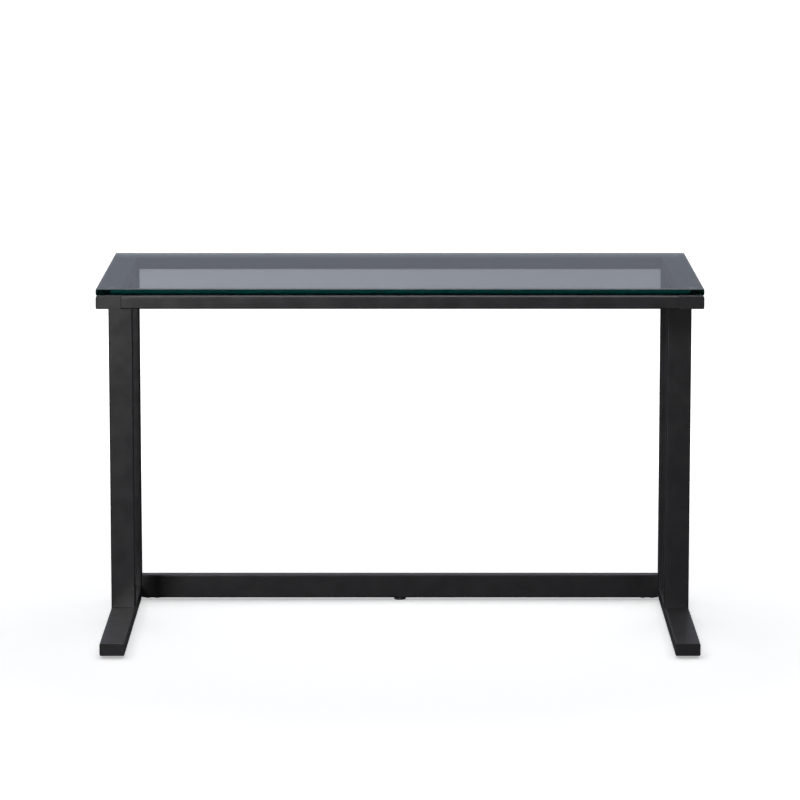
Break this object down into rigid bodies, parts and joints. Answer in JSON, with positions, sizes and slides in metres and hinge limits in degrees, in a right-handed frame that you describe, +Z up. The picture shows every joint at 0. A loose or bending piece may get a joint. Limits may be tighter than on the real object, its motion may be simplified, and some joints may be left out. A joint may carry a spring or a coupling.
{
  "type": "computer desk",
  "caption": "Free-standing desk: clear glass top on a dark rectangular-tube base with two cantilevered side frames, rails, low rear stretcher and levelling glides.",
  "frame": {"origin": "on the floor, under the middle of the desk's outline", "axes": "+Z up, +X along the desk's width to the sitter's right, the front edge faces -Y"},
  "size_m": [1.2192, 0.6096, 0.7545],
  "materials": {
    "powder_coat": "satin graphite powder coat",
    "glass": "clear toughened float glass with polished edges, green at the edges",
    "bumper": "clear soft vinyl",
    "zinc": "bright zinc plate",
    "nylon": "black moulded nylon"
  },
  "bodies": {
    "root": {"glass_top": "glass", "glass_bumper_front_left": "bumper", "glass_bumper_front_middle": "bumper", "glass_bumper_front_right": "bumper", "glass_bumper_rear_left": "bumper", "glass_bumper_rear_middle": "bumper", "glass_bumper_rear_right": "bumper", "arm_left": "powder_coat", "arm_front_plate_left": "powder_coat", "arm_rear_plate_left": "powder_coat", "foot_left": "powder_coat", "foot_front_plate_left": "powder_coat", "foot_rear_plate_left": "powder_coat", "front_post_left": "powder_coat", "rear_post_left": "powder_coat", "arm_right": "powder_coat", "arm_front_plate_right": "powder_coat", "arm_rear_plate_right": "powder_coat", "foot_right": "powder_coat", "foot_front_plate_right": "powder_coat", "foot_rear_plate_right": "powder_coat", "front_post_right": "powder_coat", "rear_post_right": "powder_coat", "front_rail": "powder_coat", "rear_rail": "powder_coat", "stretcher": "powder_coat", "front_rail_spigot_left": "powder_coat", "front_rail_spigot_right": "powder_coat", "rear_rail_spigot_left": "powder_coat", "rear_rail_spigot_right": "powder_coat", "stretcher_spigot_left": "powder_coat", "stretcher_spigot_right": "powder_coat", "front_rail_screw_left_outer": "zinc", "front_rail_screw_left_inner": "zinc", "front_rail_screw_right_outer": "zinc", "front_rail_screw_right_inner": "zinc", "rear_rail_screw_left_outer": "zinc", "rear_rail_screw_left_inner": "zinc", "rear_rail_screw_right_outer": "zinc", "rear_rail_screw_right_inner": "zinc", "stretcher_screw_left_outer": "zinc", "stretcher_screw_left_inner": "zinc", "stretcher_screw_right_outer": "zinc", "stretcher_screw_right_inner": "zinc", "glide_nut_centre": "zinc", "glide_nut_front_left": "zinc", "glide_nut_rear_left": "zinc", "glide_nut_front_right": "zinc", "glide_nut_rear_right": "zinc"},
    "pad_centre": {"glide_pad_centre": "nylon"},
    "stem_centre": {"glide_stem_centre": "zinc"},
    "pad_front_left": {"glide_pad_front_left": "nylon"},
    "stem_front_left": {"glide_stem_front_left": "zinc"},
    "pad_rear_left": {"glide_pad_rear_left": "nylon"},
    "stem_rear_left": {"glide_stem_rear_left": "zinc"},
    "pad_front_right": {"glide_pad_front_right": "nylon"},
    "stem_front_right": {"glide_stem_front_right": "zinc"},
    "pad_rear_right": {"glide_pad_rear_right": "nylon"},
    "stem_rear_right": {"glide_stem_rear_right": "zinc"}
  },
  "joints": [
    {"name": "glide_centre_rise", "type": "slide", "parent": "root", "child": "pad_centre", "axis": [0, 0, -1], "range_m": [0, 0.01]},
    {"name": "glide_centre_screw", "type": "hinge", "parent": "pad_centre", "child": "stem_centre", "pos_m": [0, 0.2921, 0.005], "axis": [0, 0, -1], "range_deg": [0, 2880]},
    {"name": "glide_front_left_rise", "type": "slide", "parent": "root", "child": "pad_front_left", "axis": [0, 0, -1], "range_m": [0, 0.01]},
    {"name": "glide_front_left_screw", "type": "hinge", "parent": "pad_front_left", "child": "stem_front_left", "pos_m": [-0.5842, -0.2598, 0.005], "axis": [0, 0, -1], "range_deg": [0, 2880]},
    {"name": "glide_rear_left_rise", "type": "slide", "parent": "root", "child": "pad_rear_left", "axis": [0, 0, -1], "range_m": [0, 0.01]},
    {"name": "glide_rear_left_screw", "type": "hinge", "parent": "pad_rear_left", "child": "stem_rear_left", "pos_m": [-0.5842, 0.2598, 0.005], "axis": [0, 0, -1], "range_deg": [0, 2880]},
    {"name": "glide_front_right_rise", "type": "slide", "parent": "root", "child": "pad_front_right", "axis": [0, 0, -1], "range_m": [0, 0.01]},
    {"name": "glide_front_right_screw", "type": "hinge", "parent": "pad_front_right", "child": "stem_front_right", "pos_m": [0.5842, -0.2598, 0.005], "axis": [0, 0, -1], "range_deg": [0, 2880]},
    {"name": "glide_rear_right_rise", "type": "slide", "parent": "root", "child": "pad_rear_right", "axis": [0, 0, -1], "range_m": [0, 0.01]},
    {"name": "glide_rear_right_screw", "type": "hinge", "parent": "pad_rear_right", "child": "stem_rear_right", "pos_m": [0.5842, 0.2598, 0.005], "axis": [0, 0, -1], "range_deg": [0, 2880]}
  ],
  "couplings": [
    {"joint": "glide_centre_screw", "follows": "glide_centre_rise", "rad_per_m": 5026.5},
    {"joint": "glide_front_left_screw", "follows": "glide_front_left_rise", "rad_per_m": 5026.5},
    {"joint": "glide_rear_left_screw", "follows": "glide_rear_left_rise", "rad_per_m": 5026.5},
    {"joint": "glide_front_right_screw", "follows": "glide_front_right_rise", "rad_per_m": 5026.5},
    {"joint": "glide_rear_right_screw", "follows": "glide_rear_right_rise", "rad_per_m": 5026.5}
  ]
}
